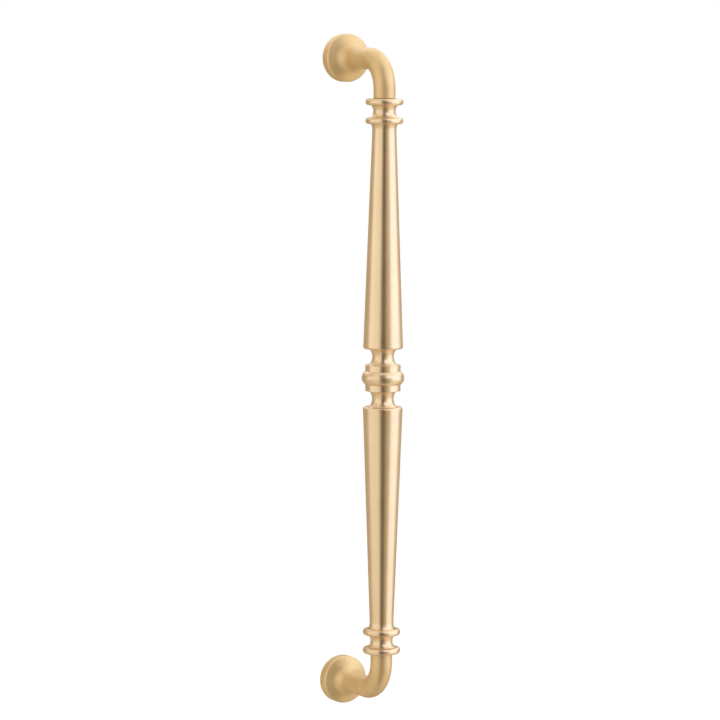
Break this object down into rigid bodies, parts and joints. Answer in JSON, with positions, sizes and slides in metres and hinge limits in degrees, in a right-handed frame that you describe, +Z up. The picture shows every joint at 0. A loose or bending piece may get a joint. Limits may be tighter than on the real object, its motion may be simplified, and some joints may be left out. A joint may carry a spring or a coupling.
{
  "type": "door pull handle",
  "caption": "Long upright door pull in satin brass: flared round roses on bent arms hold a turned grip that tapers from a beaded knop to ringed collars.",
  "frame": {"origin": "on the door's face, midway between the centres of the two fixing holes", "axes": "+Y into the door, +Z up along the grip, +X to the right of someone facing the door"},
  "size_m": [0.0344, 0.0761, 0.4844],
  "materials": {
    "cast_brass": "fine satin, lacquered",
    "turned_brass": "fine turned satin, lacquered",
    "stud_steel": "plain, hidden in the joints"
  },
  "bodies": {
    "root": {"upper_elbow": "cast_brass", "lower_elbow": "cast_brass", "upper_grip": "turned_brass", "centre_knop": "turned_brass", "lower_grip": "turned_brass", "upper_elbow_stud": "stud_steel", "upper_knop_stud": "stud_steel", "lower_knop_stud": "stud_steel", "lower_elbow_stud": "stud_steel"}
  },
  "joints": []
}
